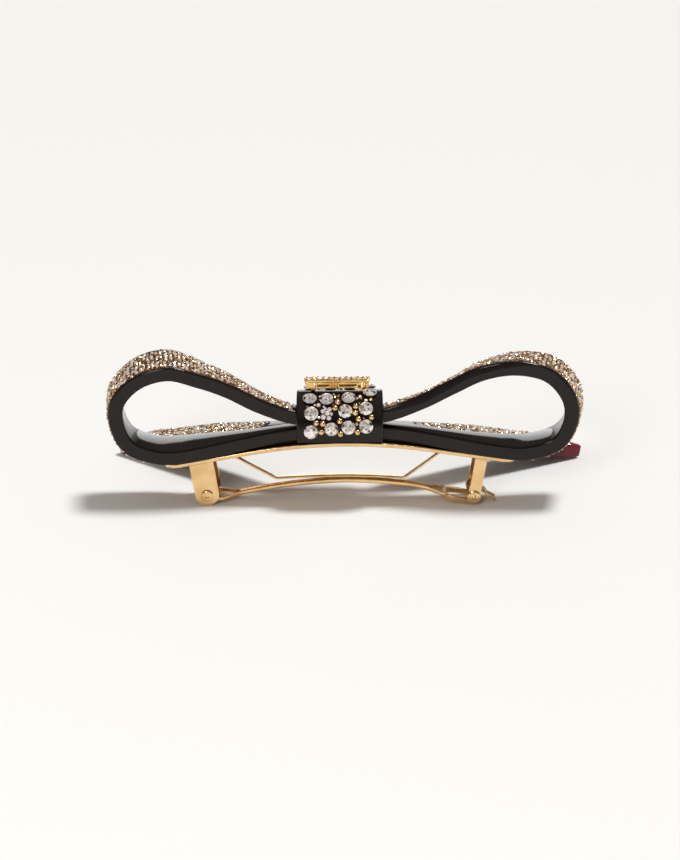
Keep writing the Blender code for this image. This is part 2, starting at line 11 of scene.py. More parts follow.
import bmesh
import bpy
import numpy as np
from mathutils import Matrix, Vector


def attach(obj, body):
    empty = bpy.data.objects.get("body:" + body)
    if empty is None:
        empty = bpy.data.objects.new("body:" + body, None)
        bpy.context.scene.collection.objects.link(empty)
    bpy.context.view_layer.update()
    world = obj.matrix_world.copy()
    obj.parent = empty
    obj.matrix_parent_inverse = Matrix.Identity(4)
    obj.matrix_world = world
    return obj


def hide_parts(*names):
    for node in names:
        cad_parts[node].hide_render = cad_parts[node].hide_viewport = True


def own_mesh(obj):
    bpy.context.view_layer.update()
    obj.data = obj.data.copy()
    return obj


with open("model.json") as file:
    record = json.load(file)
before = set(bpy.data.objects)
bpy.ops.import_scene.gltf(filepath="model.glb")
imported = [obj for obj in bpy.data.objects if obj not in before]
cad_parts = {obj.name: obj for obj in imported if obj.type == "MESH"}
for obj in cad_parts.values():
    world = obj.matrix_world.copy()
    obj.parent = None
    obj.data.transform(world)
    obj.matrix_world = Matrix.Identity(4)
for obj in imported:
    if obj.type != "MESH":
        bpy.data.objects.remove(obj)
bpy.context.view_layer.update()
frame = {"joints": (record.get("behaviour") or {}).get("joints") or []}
rng = random.Random(17)

MM = 0.001
SPLINE_STEPS = 40
HINGE = (-26.6, 2.15)  # x, z of the hinge pin
CATCH = (26.9, 1.85)  # x, z of the catch rivet
joint_places = {joint["name"]: joint.get("pos_m") for joint in frame["joints"]}
ORIGIN = Vector(joint_places["clip_hinge"]) - MM * Vector((HINGE[0], 0, HINGE[1]))

BOW_TILT = 0.0102  # the bow leans over on the clip, its +X side higher
TILT_PIVOT_Z = 14.8
RIBBON_T = 2.9
TAIL_T = 2.5
TIP_INSET, TIP_SHARE = 0.11, 0.022  # rounding of a tail's corners, as shares of width and length
TAIL_GLOW_FROM = 0.84  # the last part of a tail is painted burgundy, a painted glow of light shining through the resin
RIBBON_ROUND = 0.38
RIBBON_KNOT_HALF = 2.4
RIBBON_END_HALF = 5.0
RIBBON_WIDENS_OVER = 26.0  # from the knot outwards
PAVED_ABOVE, PAVED_BEYOND = 16.0, 37.5  # stones on a loop's upper strand and outer turn
TAIL_PAVED = (23, 85)  # stations of a tail that carry stones, of 90
FLARE = {-1: 0.019, 1: 0.035}  # how much further out the far edge of a loop reaches
FAR_LIFT = {-1: (0.9, 37.0, 9.0), 1: (-2.05, 23.0, 14.5)}  # height, middle, spread
FAR_TRIM = {-1: (1.5, 17.0, 9.0), 1: (2.9, 25.0, 13.0)}  # depth, middle, spread

PLATE_HALF = 3.65
PLATE_LENGTH_HALF = 35.0
PLATE_T = 0.8
PLATE_CROWN = 13.35
PLATE_SAG = 215.0
PLATE_STRAIGHT_FROM = 18.0
PLATE_TILT = 0.02
PLATE_CORNER = 2.8
HOLE_X, HOLE_R = 31.9, 0.8
SHEET_T = 0.6  # ears and legs
SHEET_BEND = 0.95  # outer radius where they turn down from the plate
EAR_X, EAR_HALF, EAR_END = -27.9, 2.4, 2.13
LEG_X, LEG_HALF, LEG_PAD_R = 28.4, 1.15, 1.4
LEVER_T = 0.45
FLANGE = 0.32  # turned-up edges of the lever
LEVER_HALF = 0.85
RING_FLARE = 1.3  # how much wider the lever gets where the ring starts
KNUCKLE_HALF, KNUCKLE_R, KNUCKLE_BORE = 2.75, 1.25, 0.72
RING_X, RING_HALF_X, RING_HALF_Y = 24.6, 4.0, 2.9
RING_WALL = 0.75
RING_SQUARE = 0.62  # 1 is an ellipse, less is closer to a rectangle
HINGE_RIVET = (0.6, 1.17)  # shank and head radius
CATCH_RIVET = (0.45, 1.34)
LATCH_EYE = (0.58, 0.82, 1.1)  # bore, outer radius, half width
LATCH_T = 0.3
BAR_T, BAR_HALF, BAR_BEND = 0.35, 0.6, 0.6
GLUE_LINE = 0.15

KNOT_HALF = 8.6
KNOT_R = 6.5  # half-round saddle, straight below its axis
KNOT_AXIS_Y, KNOT_AXIS_Z = 1.6, 16.0
KNOT_BOTTOM = 13.8
STRAND_SPACE = (-2.75, 2.8, 20.0)  # front, back and top of the room for the loops
TAIL_SPACE = (7.45, 16.5)  # back and top of the room for the tails
KNOT_STONE_R = 1.4
KNOT_BEAD_R = 0.6

PAVE_PITCH = 0.90
PAVE_ROW = 0.86  # distance between rows, as a share of the pitch
PAVE_NEAR_RIM, PAVE_FAR_RIM = 0.34, 0.75  # bare resin left along the two edges
PAVE_STONE_SHARE = 0.78  # the rest of the places hold beads
PAVE_GRAIN_SHARE = 0.6  # gaps that hold a grain
STONE_RADII, BEAD_RADII, GRAIN_RADII = (0.31, 0.47), (0.24, 0.33), (0.13, 0.19)


# ------------ mesh helpers
def clamp(value):
    return min(max(value, 0.0), 1.0)


def to_world(points):
    return np.asarray(points, float) * MM + np.array(ORIGIN)


def lean(points):
    """Points of the bow after it has leaned over on the clip."""
    x, y, z = np.asarray(points, float).T
    c, s = math.cos(BOW_TILT), math.sin(BOW_TILT)
    high = z - TILT_PIVOT_Z
    return np.column_stack([x * c - high * s, y, TILT_PIVOT_Z + x * s + high * c])


def new_object(name, data):
    obj = bpy.data.objects.new(name, data)
    bpy.context.scene.collection.objects.link(obj)
    return obj


def piece(name, verts, faces, materials, body, replaces=None, slot=None, sharp=35.0,
          face_materials=None, bevel=0.0, tones=None, face_tones=None, leaning=False):
    """A finished mesh object: verts in millimetres, riding on a CAD body.

    It stands for the CAD node of its own name unless replaces says otherwise.
    """
    replaces = [name] if replaces is None else replaces
    if leaning:
        verts = lean(verts)
    mesh = bpy.data.meshes.new(name)
    mesh.from_pydata([tuple(p) for p in to_world(verts)], [], [tuple(f) for f in faces])
    for mat in materials:
        mesh.materials.append(mat)
    if face_materials is not None:
        mesh.polygons.foreach_set("material_index", face_materials)
    for values, domain in ((tones, "POINT"), (face_tones, "FACE")):
        if values is not None:
            layer = mesh.attributes.new("tone", "FLOAT", domain)
            layer.data.foreach_set("value", np.asarray(values, np.float32))
    work = bmesh.new()
    work.from_mesh(mesh)
    bmesh.ops.recalc_face_normals(work, faces=work.faces)
    work.to_mesh(mesh)
    work.free()
    mesh.shade_smooth()
    mesh.set_sharp_from_angle(angle=math.radians(sharp))
    obj = new_object(name, mesh)
    if bevel:
        mod = obj.modifiers.new("edge", "BEVEL")
        mod.width = bevel * MM
        mod.segments = 2
        mod.limit_method = "ANGLE"
        mod.angle_limit = math.radians(38)
    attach(obj, body)
    if replaces:
        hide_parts(*replaces)
    return obj


class Builder:
    """Collects closed shells into one mesh."""

    def __init__(self):
        self.verts = []
        self.faces = []
        self.materials = []
        self.tones = []

    def add(self, verts, faces, material=0, tone=0.5):
        start = len(self.verts)
        self.verts += [tuple(v) for v in verts]
        self.faces += [tuple(start + i for i in f) for f in faces]
        self.materials += [material] * len(faces)
        self.tones += list(tone) if hasattr(tone, "__len__") else [tone] * len(faces)

    def piece(self, name, materials, body, **options):
        return piece(name, self.verts, self.faces, materials, body,
                     face_materials=self.materials, face_tones=self.tones, **options)


def tube_faces(rings, count, closed=False):
    faces = []
    for i in range(rings if closed else rings - 1):
        for j in range(count):
            k = (j + 1) % count
            n = (i + 1) % rings
            faces.append((i * count + j, i * count + k, n * count + k, n * count + j))
    if not closed:
        faces.append(tuple(range(count)))
        faces.append(tuple((rings - 1) * count + j for j in range(count)))
    return faces


def arc(cx, cy, radius, start, end, steps):
    """Points on a circle between two angles in degrees."""
    angles = [math.radians(start + (end - start) * i / steps) for i in range(steps + 1)]
    return [(cx + radius * math.cos(a), cy + radius * math.sin(a)) for a in angles]


def strip_shell(near, far, normals, low, high, rounding, steps=3, groove=None):
    """Flat strip between two edge curves; its long edges are rounded, its back may be grooved."""
    verts = []
    for a, b, n in zip(near, far, normals):
        across = (b - a).normalized()
        width = (b - a).length
        r = min(rounding, (high - low) / 2.02)
        ring = arc(r, low + r, r, 180, 270, steps)
        ring += arc(width - r, low + r, r, 270, 360, steps)
        ring += arc(width - r, high - r, r, 0, 90, steps)
        if groove:
            wall, depth = groove
            slope = 0.12
            ring += [(width - wall, high), (width - wall - slope, high - depth),
                     (wall + slope, high - depth), (wall, high)]
        ring += arc(r, high - r, r, 90, 180, steps)
        verts += [a + across * u + n * w for u, w in ring]
    return verts, tube_faces(len(near), len(verts) // len(near))


def prism_shell(outline, axis, start, end):
    """Straight prism along an axis from an outline in the other two."""
    def place(u, v, w):
        return {"X": (w, u, v), "Y": (u, w, v), "Z": (u, v, w)}[axis]
    verts = [place(u, v, start) for u, v in outline] + [place(u, v, end) for u, v in outline]
    return verts, tube_faces(2, len(outline))


def rod_shell(x, z, sections, sides=40):
    """Turned piece along Y from (y, radius) sections."""
    verts = []
    for y, radius in sections:
        verts += [(px, y, pz) for px, pz in arc(x, z, radius, 0, 360, sides)[:-1]]
    return verts, tube_faces(len(sections), sides)


def sleeve_shell(x, z, bore, outer, half, sides):
    """Tube along Y, open at both ends."""
    verts = []
    for radius, y in ((bore, -half), (outer, -half), (outer, half), (bore, half)):
        verts += [(px, y, pz) for px, pz in arc(x, z, radius, 0, 360, sides)[:-1]]
    return verts, tube_faces(4, sides, True)


def ball_shell(centre, radius, rings, sides):
    verts = []
    for i in range(rings):
        a = math.pi * (i + 0.5) / rings
        for j in range(sides):
            b = 2 * math.pi * j / sides
            verts.append((centre[0] + radius * math.sin(a) * math.cos(b),
                          centre[1] + radius * math.sin(a) * math.sin(b),
                          centre[2] + radius * math.cos(a)))
    return verts, tube_faces(rings, sides)


def spline(points, count):
    """Smooth curve through the points, evenly spaced along its length."""
    pts = [Vector(p) for p in points]
    pts = [2 * pts[0] - pts[1]] + pts + [2 * pts[-1] - pts[-2]]
    fine = []
    for i in range(1, len(pts) - 2):
        p0, p1, p2, p3 = pts[i - 1:i + 3]
        for k in range(SPLINE_STEPS):
            t = k / SPLINE_STEPS
            fine.append(0.5 * (2 * p1 + (p2 - p0) * t + (2 * p0 - 5 * p1 + 4 * p2 - p3) * t * t
                               + (3 * p1 - p0 - 3 * p2 + p3) * t ** 3))
    fine.append(pts[-2])
    return even_points(fine, count)


def even_points(fine, count):
    lengths = [0.0]
    for a, b in zip(fine, fine[1:]):
        lengths.append(lengths[-1] + (b - a).length)
    even = []
    k = 0
    for i in range(count):
        s = lengths[-1] * i / (count - 1)
        while k < len(fine) - 2 and lengths[k + 1] < s:
            k += 1
        part = (s - lengths[k]) / max(lengths[k + 1] - lengths[k], 1e-9)
        even.append(fine[k].lerp(fine[k + 1], min(part, 1.0)))
    return even


def line_normals(line):
    """Normals of a line of points in the XZ plane."""
    normals = []
    for i in range(len(line)):
        run = line[min(i + 1, len(line) - 1)] - line[max(i - 1, 0)]
        normals.append(Vector((-run.z, 0, run.x)).normalized())
    return normals


def plate_top(x):
    """Height of the plate's upper face: arched in the middle, straight towards the ends."""
    inner = min(abs(x), PLATE_STRAIGHT_FROM)
    slope = 2 * PLATE_STRAIGHT_FROM / PLATE_SAG
    return PLATE_CROWN - inner * inner / PLATE_SAG - slope * (abs(x) - inner) + PLATE_TILT * x


# ------------ materials
class Nodes:
    """A material or a world, and short calls for its node tree."""

    def __init__(self, owner, shader="Principled BSDF"):
        self.owner = owner
        owner.use_nodes = True
        self.tree = owner.node_tree
        self.shader = self.tree.nodes[shader]
        self.coords = self.tree.nodes.new("ShaderNodeTexCoord")

    def node(self, kind, **values):
        made = self.tree.nodes.new(kind)
        for key, value in values.items():
            setattr(made, key, value)
        return made

    def link(self, source, target):
        self.tree.links.new(source, target)

    def noise(self, scale, detail, stretch=None):
        made = self.node("ShaderNodeTexNoise")
        made.inputs["Scale"].default_value = scale
        made.inputs["Detail"].default_value = detail
        vector = self.coords.outputs["Object"]
        if stretch:
            mapping = self.node("ShaderNodeMapping")
            mapping.inputs["Scale"].default_value = stretch
            self.link(vector, mapping.inputs["Vector"])
            vector = mapping.outputs["Vector"]
        self.link(vector, made.inputs["Vector"])
        return made.outputs["Fac"]

    def ramp(self, source, stops):
        made = self.node("ShaderNodeValToRGB")
        elements = made.color_ramp.elements
        while len(elements) < len(stops):
            elements.new(0.5)
        for element, (place, colour) in zip(elements, stops):
            element.position = place
            element.color = (*colour, 1.0)
        self.link(source, made.inputs["Fac"])
        return made.outputs["Color"]

    def span(self, source, low, high, start=0.0, end=1.0):
        """The source from start to end, spread over low to high."""
        made = self.node("ShaderNodeMapRange")
        made.inputs["From Min"].default_value = start
        made.inputs["From Max"].default_value = end
        made.inputs["To Min"].default_value = low
        made.inputs["To Max"].default_value = high
        self.link(source, made.inputs["Value"])
        return made.outputs["Result"]

    def mix(self, factor, first, second):
        """Mix of two colours; inputs 6 and 7 and output 2 are the node's colour sockets."""
        made = self.node("ShaderNodeMix", data_type="RGBA")
        self.feed(made.inputs["Factor"], factor)
        self.feed(made.inputs[6], first)
        self.feed(made.inputs[7], second)
        return made.outputs[2]

    def attribute(self, name):
        return self.node("ShaderNodeAttribute", attribute_name=name).outputs["Fac"]

    def bump(self, height, strength, distance):
        made = self.node("ShaderNodeBump")
        made.inputs["Strength"].default_value = strength
        made.inputs["Distance"].default_value = distance
        self.link(height, made.inputs["Height"])
        self.link(made.outputs["Normal"], self.shader.inputs["Normal"])

    def feed(self, socket, value):
        if isinstance(value, bpy.types.NodeSocket):
            self.link(value, socket)
        else:
            socket.default_value = value

    def set(self, **values):
        for key, value in values.items():
            self.feed(self.shader.inputs[key.replace("_", " ")], value)
        return self.owner


def resin_material():
    """Near-black brown resin, painted burgundy where 'tone' is 1: a painted glow that stands for
    light shining through the slim end of a tail.
    """
    n = Nodes(bpy.data.materials.new("resin_black_burgundy"))
    cloud = n.noise(140.0, 4.0)
    body = n.ramp(cloud, [(0.35, (0.0078, 0.0048, 0.0032)), (0.62, (0.0105, 0.0062, 0.0042)),
                          (0.8, (0.016, 0.0078, 0.0060))])
    # painted glow: burgundy that stands for light shining through the resin
    painted_glow = n.ramp(cloud, [(0.3, (0.17, 0.010, 0.020)), (0.75, (0.27, 0.018, 0.036))])
    colour = n.mix(n.attribute("tone"), body, painted_glow)
    haze = n.noise(900.0, 3.0)
    n.bump(n.noise(260.0, 2.0), 0.08, 0.00003)
    return n.set(Base_Color=colour, Roughness=n.span(haze, 0.05, 0.12), Metallic=0.0, IOR=1.36)


def gold_material(name="gold_polished", rough=(0.12, 0.24), tint=(1.0, 1.0, 1.0)):
    n = Nodes(bpy.data.materials.new(name))
    cloud = n.noise(300.0, 4.0)
    scratch = n.noise(700.0, 3.0, (1.0, 6.0, 6.0))
    stops = [(0.3, (0.70, 0.425, 0.185)), (0.55, (0.85, 0.575, 0.285)), (0.8, (0.92, 0.67, 0.37))]
    stops = [(place, tuple(a * b for a, b in zip(shade, tint))) for place, shade in stops]
    n.bump(n.noise(110.0, 1.0), 0.30, 0.0006)
    return n.set(Base_Color=n.ramp(cloud, stops), Metallic=1.0,
                 Roughness=n.span(scratch, *rough, 0.3, 0.7))


def small_stone_material():
    """Small set stones, coloured from dark amber over rose to white; each facet's tone also
    carries painted flashes of light and shade.
    """
    n = Nodes(bpy.data.materials.new("pave_stone"))
    colour = n.ramp(n.attribute("tone"), [
        (0.0, (0.085, 0.044, 0.030)), (0.22, (0.42, 0.21, 0.115)), (0.42, (0.83, 0.50, 0.31)),
        (0.60, (0.82, 0.62, 0.55)), (0.80, (1.0, 0.83, 0.66)), (1.0, (1.0, 0.95, 0.89))])
    sparkle = n.noise(1800.0, 1.0)
    n.set(Base_Color=colour, Roughness=n.span(sparkle, 0.10, 0.22), Metallic=0.45)
    return n.set(Coat_Weight=0.5, Coat_Roughness=0.03, IOR=1.6)


def bed_material():
    """Gilt cup metal and dark glue between the small stones."""
    n = Nodes(bpy.data.materials.new("pave_bed"))
    cells = n.node("ShaderNodeTexVoronoi")
    cells.inputs["Scale"].default_value = 1500.0
    n.link(n.coords.outputs["Object"], cells.inputs["Vector"])
    distance = cells.outputs["Distance"]
    colour = n.ramp(distance, [(0.1, (0.34, 0.20, 0.11)), (0.5, (0.075, 0.042, 0.030))])
    n.bump(distance, 0.6, 0.0001)
    return n.set(Base_Color=colour, Roughness=0.35, Metallic=0.7)


def crystal_material():
    """Foil-backed crystal; the facets' tones are the light and dark flashes inside it."""
    n = Nodes(bpy.data.materials.new("crystal_glass"))
    colour = n.ramp(n.attribute("tone"), [
        (0.0, (0.055, 0.042, 0.038)), (0.22, (0.30, 0.25, 0.23)), (0.42, (0.74, 0.66, 0.63)),
        (0.65, (0.97, 0.90, 0.86)), (1.0, (1.0, 0.98, 0.95))])
    smear = n.noise(1500.0, 2.0)
    n.set(Base_Color=colour, Roughness=n.span(smear, 0.03, 0.12), Metallic=0.58, IOR=1.7)
    return n.set(Coat_Weight=0.6, Coat_Roughness=0.0)


RESIN = resin_material()
GOLD = gold_material()
GOLD_BEAD = gold_material("gold_bead", (0.07, 0.14), (0.92, 1.0, 0.95))
GOLD_YELLOW = gold_material("gold_yellow", (0.10, 0.20), (0.90, 0.86, 0.64))
ROSE_BEAD = gold_material("rose_bead", (0.07, 0.14), (1.0, 0.86, 1.25))
SMALL_STONE = small_stone_material()
BED = bed_material()
CRYSTAL = crystal_material()


# ------------ ribbons
def loop_outline(side, count):
    """Centre line of a loop's near edge as (x, z), upper strand first."""
    if side < 0:
        upper = [(0.3, 18.2), (4.5, 18.1), (9.7, 18.4), (16.1, 20.95), (22.3, 24.5), (28.2, 26.95)]
        turn = [(33.9, 28.45), (40.0, 26.65), (44.0, 22.3), (44.0, 17.2), (41.6, 13.0),
                (36.5, 11.05), (32.0, 10.95)]
    else:
        upper = [(0.3, 18.2), (4.5, 18.2), (9.7, 18.8), (16.5, 21.7), (22.4, 25.0), (28.3, 28.0)]
        turn = [(34.8, 29.05), (41.3, 27.4), (45.3, 22.6), (45.6, 17.5), (42.9, 12.95),
                (37.0, 11.15), (32.0, 11.5)]
    lower = []
    for x in (27.0, 20.0, 13.0, 7.0, 0.3):
        seat = plate_top(side * x) - BOW_TILT * side * x
        lower.append((x, seat + GLUE_LINE + RIBBON_T / 2))
    return spline([(side * x, z) for x, z in upper + turn + lower], count)


def loop_half_width(x):
    """Half the ribbon's width: narrow at the knot, full width where the loop turns."""
    out = clamp((abs(x) - KNOT_HALF) / RIBBON_WIDENS_OVER)
    smooth = out * out * (3 - 2 * out)
    return RIBBON_KNOT_HALF + (RIBBON_END_HALF - RIBBON_KNOT_HALF) * smooth


def far_lift(side, x, z):
    """How much higher the far edge lies than the near edge, on the upper strand only."""
    height, middle, spread = FAR_LIFT[side]
    upper = clamp((z - 14.0) / 8.0)
    return height * upper * math.exp(-((abs(x) - middle) / spread) ** 2)


def far_trim(side, x, z):
    """How much the lower strand is cut back at its far edge."""
    depth, middle, spread = FAR_TRIM[side]
    lower = clamp((17.5 - z) / 3.0)
    return depth * lower * math.exp(-((abs(x) - middle) / spread) ** 2)


def edge_normals(side, near, far):
    """Outward normals of the surface between two edges that run away from the knot."""
    normals = []
    for i in range(len(near)):
        before, after = max(i - 1, 0), min(i + 1, len(near) - 1)
        run = (near[after] - near[before]) + (far[after] - far[before])
        normals.append(side * run.cross(far[i] - near[i]).normalized())
    return normals


def loop_edges(side, count=150):
    """Near and far edge of a loop and the normals between them; p.y is a height here."""
    near, far = [], []
    for p in loop_outline(side, count):
        half = loop_half_width(p.x)
        near.append(Vector((p.x, -half, p.y)))
        back = half - far_trim(side, p.x, p.y)
        far.append(Vector((p.x * (1 + FLARE[side]), back, p.y + far_lift(side, p.x, p.y))))
    return near, far, edge_normals(side, near, far)


def tail_edges(side, count=90):
    """Edges of a tail from under the knot to its slanted tip near the floor."""
    reach, depth = (1.0, 1.05) if side > 0 else (0.902, 1.16)
    near = [(3.5, 4.1, 14.5), (8.6, 4.15, 13.3), (14.0, 4.4, 11.9), (20.0, 6.0, 10.2),
            (30.0, 11.2, 7.3), (41.0, 17.3, 3.7), (51.0, 23.2, 1.3)]
    far = [(3.5, 7.0, 14.5), (8.6, 7.15, 13.3), (12.6, 9.6, 12.2), (17.5, 12.6, 10.8),
           (26.0, 17.6, 8.4), (35.6, 23.2, 5.0), (43.0, 27.6, 2.3)]
    edges = []
    for edge in (near, far):
        placed = []
        for x, y, z in edge:
            out = x if x < 9 else 9 + (x - 9) * reach
            back = y if y < 8 else 8 + (y - 8) * depth
            placed.append((side * out, back, z))
        edges.append(spline(placed, count))
    near, far = edges
    return near, far, edge_normals(side, near, far)


def round_tip(edges, share):
    """Draws the two edges together over the last share of the strip, to round its corners."""
    near, far, normals = edges
    start = 1 - share
    slim_near, slim_far = [], []
    for i, (a, b) in enumerate(zip(near, far)):
        t = max(i / (len(near) - 1) - start, 0.0) / share
        inset = TIP_INSET * (1 - math.sqrt(max(1 - t * t, 0.0)))
        slim_near.append(a.lerp(b, inset))
        slim_far.append(b.lerp(a, inset))
    return slim_near, slim_far, normals


def make_ribbon(name, edges, thickness, leaning, glow_from=None):
    """Resin strip; its tone, the share of painted burgundy glow, rises from 0 where the glow
    starts to 1 at its end.
    """
    stations = len(edges[0])
    verts, faces = strip_shell(*edges, -thickness / 2, thickness / 2, RIBBON_ROUND)
    tones = [0.0] * len(verts)
    if glow_from:
        ring = len(verts) // stations
        for i in range(stations):
            share = max(0.0, (i / (stations - 1) - glow_from) / (1 - glow_from))
            tones[i * ring:(i + 1) * ring] = [share ** 0.7] * ring
    piece(name, verts, faces, [RESIN], "bow", slot="resin", sharp=60, tones=tones,
          leaning=leaning)


# ------------ small set stones
def small_stone_shell():
    """Unit chaton: table, sixteen crown facets, girdle and a short pavilion."""
    verts = []
    for radius, height, turn in ((0.56, 0.42, 22.5), (1.0, 0.0, 0.0), (0.96, -0.08, 0.0)):
        verts += [(u, v, height) for u, v in arc(0, 0, radius, turn, 360 + turn, 8)[:-1]]
    verts.append((0, 0, -0.6))
    faces = [tuple(range(8))]
    for k in range(8):
        n = (k + 1) % 8
        faces.append((k, 8 + k, 8 + n))
        faces.append((k, 8 + n, n))
        faces.append((8 + k, 16 + k, 16 + n, 8 + n))
        faces.append((16 + k, 24, 16 + n))
    return np.array(verts), faces


STONE_VERTS, STONE_FACES = small_stone_shell()
BALL_VERTS, BALL_FACES = ball_shell((0, 0, 0), 1.0, 5, 8)
BALL_VERTS = np.array(BALL_VERTS)
STONE_SLOT, BALL_SLOT = 1, 2  # material places; 0 is the bed under them


def tilt_frame(normal, along, wobble):
    """Axes of a stone standing on a surface, leaning a little at random."""
    n = Vector(normal).normalized()
    a = (Vector(along) - n * n.dot(along)).normalized()
    b = n.cross(a)
    tip = (n + a * rng.uniform(-wobble, wobble) + b * rng.uniform(-wobble, wobble)).normalized()
    turn = rng.uniform(0, math.pi)
    a = (a * math.cos(turn) + b * math.sin(turn))
    a = (a - tip * tip.dot(a)).normalized()
    return np.array([a, tip.cross(a), tip])


def add_stone(build, centre, axes, radius, tone):
    """One chaton with painted flashes: its table is painted lighter and its other facets lighter
    and darker around its own tone.
    """
    # painted highlight: the table is painted lighter than the stone's own tone
    tones = [min(tone + 0.2, 1.0)]
    # painted flashes of light and shade on the remaining facets
    tones += [clamp(tone + rng.uniform(-0.26, 0.26)) for _ in STONE_FACES[1:]]
    build.add(STONE_VERTS * radius @ axes + np.array(centre), STONE_FACES, STONE_SLOT, tones)


def add_ball(build, centre, axes, radius):
    build.add(BALL_VERTS * radius @ axes + np.array(centre), BALL_FACES, BALL_SLOT)


def sample(edges, s):
    """Point, across vector and normal at s (0 to 1) along a strip."""
    near, far, normals = edges
    place = s * (len(near) - 1)
    i = min(int(place), len(near) - 2)
    f = place - i
    return (near[i].lerp(near[i + 1], f), far[i].lerp(far[i + 1], f),
            normals[i].lerp(normals[i + 1], f).normalized())


def pave_strip(name, edges, first, last, height, tone_bias, leaning):
    """Bed and staggered rows of stones and grains on a ribbon's outer face."""
    near, far, normals = (part[first:last] for part in edges)
    slim_near = [a + (b - a).normalized() * PAVE_NEAR_RIM for a, b in zip(near, far)]
    slim_far = [b - (b - a).normalized() * PAVE_FAR_RIM for a, b in zip(near, far)]
    build = Builder()
    build.add(*strip_shell(slim_near, slim_far, normals, height - 0.1, height + 0.07, 0.08, 2))
    slim = (slim_near, slim_far, normals)
    length = sum(((a + b) - (c + d)).length / 2 for a, b, c, d in
                 zip(slim_near, slim_far, slim_near[1:], slim_far[1:]))
    pitch = PAVE_PITCH
    rows = int(length / (pitch * PAVE_ROW))
    edge, grain_edge = 0.28, 0.25
    for row in range(rows):
        s = (row + 0.5) / rows
        a, b, n = sample(slim, s)
        width = (b - a).length
        across = (b - a) / width
        ahead = sample(slim, min(s + 0.01, 1.0))[0] - sample(slim, max(s - 0.01, 0.0))[0]
        along = ahead.normalized()
        count = max(int((width - 0.7) / pitch), 1)
        start = (width - count * pitch) / 2 + rng.uniform(-0.5, 0.5) * pitch
        for k in range(count + 1):
            u = start + k * pitch + rng.uniform(-0.14, 0.14)
            if not edge < u < width - edge:
                continue
            base = a + across * u + along * rng.uniform(-0.2, 0.2)
            axes = tilt_frame(n, along, 0.34)
            if rng.random() > PAVE_STONE_SHARE:
                add_ball(build, base + n * (height + 0.12), axes, rng.uniform(*BEAD_RADII))
            else:
                radius = rng.uniform(*STONE_RADII)
                tone = clamp(rng.gauss(0.60 + tone_bias, 0.26))
                add_stone(build, base + n * (height + 0.11), axes, radius, tone)
            if rng.random() < PAVE_GRAIN_SHARE and u + pitch * 0.5 < width - grain_edge:
                between = base + across * pitch * 0.5 + along * rng.choice((-0.25, 0.25))
                add_ball(build, between + n * (height + 0.15), axes, rng.uniform(*GRAIN_RADII))
    build.piece(name, [BED, SMALL_STONE, GOLD_BEAD], "bow", slot="pave_stones", sharp=12,
                leaning=leaning)


def make_bow():
    for side, word in ((-1, "left"), (1, "right")):
        edges = loop_edges(side)
        make_ribbon("bow_loop_" + word, edges, RIBBON_T, True)
        covered = [i for i, p in enumerate(edges[0]) if abs(p.x) > KNOT_HALF + 0.6
                   and (p.z > PAVED_ABOVE or abs(p.x) > PAVED_BEYOND)]
        lightness = 0.03 if side < 0 else -0.02
        pave_strip("pave_loop_" + word, edges, covered[0], covered[-1] + 1, RIBBON_T / 2,
                   lightness, True)
        edges = round_tip(tail_edges(side), TIP_SHARE)
        make_ribbon("tail_" + word, edges, TAIL_T, False, glow_from=TAIL_GLOW_FROM)
        pave_strip("pave_tail_" + word, edges, *TAIL_PAVED, TAIL_T / 2, 0.10, False)


# ------------ knot
def knot_length():
    """Length of the knot's skin from its front foot over the top to its back foot."""
    return 2 * (KNOT_AXIS_Z - KNOT_BOTTOM) + math.pi * KNOT_R


def knot_surface(s):
    """Point (y, z) and outward normal on the knot, s millimetres up from its front foot."""
    upright = KNOT_AXIS_Z - KNOT_BOTTOM
    if s > knot_length() / 2:
        point, normal = knot_surface(knot_length() - s)
        return (2 * KNOT_AXIS_Y - point[0], point[1]), (-normal[0], normal[1])
    a = max(s - upright, 0.0) / KNOT_R
    normal = (-math.cos(a), math.sin(a))
    low = min(s - upright, 0.0)
    return (KNOT_AXIS_Y + KNOT_R * normal[0], KNOT_AXIS_Z + KNOT_R * normal[1] + low), normal


def on_knot(x, s, height):
    """Point at a height over the knot's skin, and the normal there; s < 0 counts from the back."""
    (y, z), (ny, nz) = knot_surface(s % knot_length())
    normal = Vector((0, ny, nz))
    return Vector((x, y, z)) + normal * height, normal


def make_knot_band():
    front, back = KNOT_AXIS_Y - KNOT_R, KNOT_AXIS_Y + KNOT_R
    strand_front, strand_back, strand_top = STRAND_SPACE
    tail_back, tail_top = TAIL_SPACE
    outline = [(front, KNOT_BOTTOM)]
    outline += arc(KNOT_AXIS_Y, KNOT_AXIS_Z, KNOT_R, 180, 0, 64)
    outline += [(back, KNOT_BOTTOM), (tail_back, KNOT_BOTTOM), (tail_back, tail_top),
                (strand_back, tail_top), (strand_back, strand_top),
                (strand_front, strand_top), (strand_front, KNOT_BOTTOM)]
    verts, faces = prism_shell(outline, "X", -KNOT_HALF, KNOT_HALF)
    piece("knot_band", verts, faces, [RESIN], "bow", slot="resin", bevel=0.5,
          tones=[0.0] * len(verts), leaning=True)


